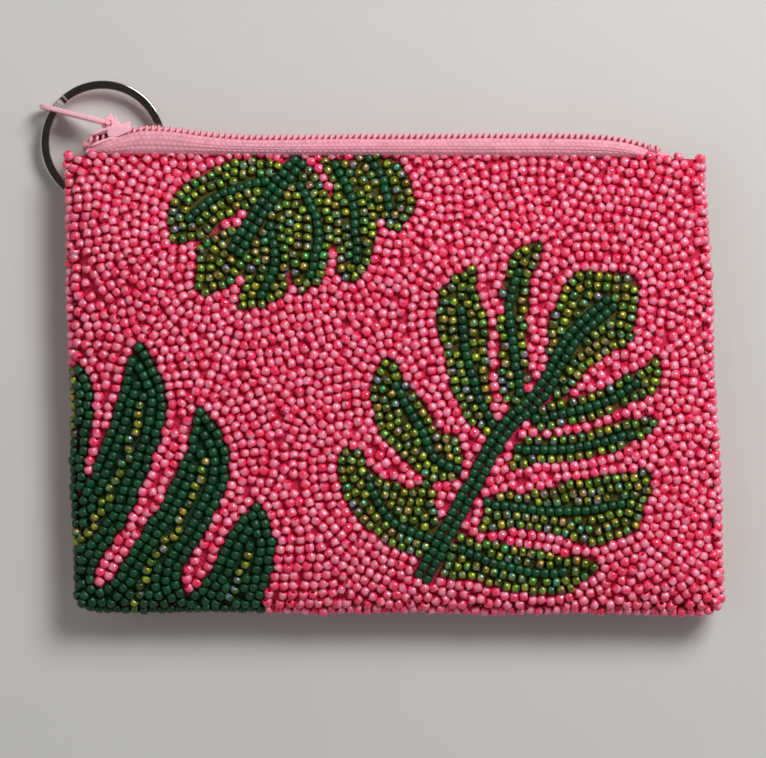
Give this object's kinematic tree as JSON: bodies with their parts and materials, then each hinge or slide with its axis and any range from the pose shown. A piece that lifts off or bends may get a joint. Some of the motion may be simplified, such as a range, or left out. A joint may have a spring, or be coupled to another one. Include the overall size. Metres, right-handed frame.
{
  "type": "beaded coin purse",
  "caption": "Flat beaded coin purse with a zipped mouth, a slider and pull tab, and a split key ring on the tab.",
  "frame": {"origin": "Middle of the flat face that the purse lies on, at the back", "axes": "+X along the zipper, from the closed end to the open end, +Y from the bottom seam to the mouth, +Z from the back to the front"},
  "size_m": [0.1469, 0.1143, 0.0152],
  "materials": {
    "pink_beads": "clear glass seed beads with a hot pink lining",
    "lime_beads": "glass seed beads with an olive and lime rainbow coating",
    "green_beads": "transparent emerald glass seed beads",
    "canvas": "dyed cotton canvas",
    "lining": "plain cotton lining",
    "zipper_tape": "woven polyester tape",
    "zipper_coil": "dyed nylon coil",
    "thread": "sewing thread",
    "pink_enamel": "pink enamel on die-cast zinc",
    "ring_steel": "nickel-plated steel"
  },
  "bodies": {
    "back": {"back_field_beads": "pink_beads", "back_lime_beads": "lime_beads", "back_green_beads": "green_beads", "back_canvas": "canvas", "back_lining": "lining", "zipper_tape_back": "zipper_tape", "zipper_coil_back": "zipper_coil", "zipper_end_tacks": "thread"},
    "front": {"front_field_beads": "pink_beads", "leaf_right_blades": "lime_beads", "leaf_right_veins": "green_beads", "leaf_top_blades": "lime_beads", "leaf_top_veins": "green_beads", "leaf_low_lobes": "green_beads", "leaf_low_stripes": "lime_beads", "front_canvas": "canvas", "front_lining": "lining", "zipper_tape_front": "zipper_tape", "zipper_coil_front": "zipper_coil"},
    "slider": {"slider_body": "pink_enamel", "slider_bridge": "pink_enamel"},
    "tab": {"pull_tab": "pink_enamel"},
    "ring": {"key_ring": "ring_steel"}
  },
  "joints": [
    {"name": "mouth_opening", "type": "hinge", "parent": "back", "child": "front", "pos_m": [0, -0.0487, 0.0076], "axis": [1, 0, 0], "range_deg": [0, 18], "deforming": ["zipper_tape_front", "zipper_coil_front", "zipper_tape_back", "zipper_coil_back"]},
    {"name": "zipper_slide", "type": "slide", "parent": "back", "child": "slider", "axis": [1, 0, 0], "range_m": [0, 0.11]},
    {"name": "tab_swing", "type": "hinge", "parent": "slider", "child": "tab", "pos_m": [-0.0612, 0.05595, 0.0076], "axis": [0, 0, 1], "range_deg": [-100, 6]},
    {"name": "ring_turn", "type": "hinge", "parent": "tab", "child": "ring", "pos_m": [-0.06283, 0.05216, 0.00232], "axis": [0.0546, -0.0946, 0.994], "continuous": true}
  ],
  "couplings": [
    {"joint": "mouth_opening", "follows": "zipper_slide", "rad_per_m": 2.85}
  ]
}
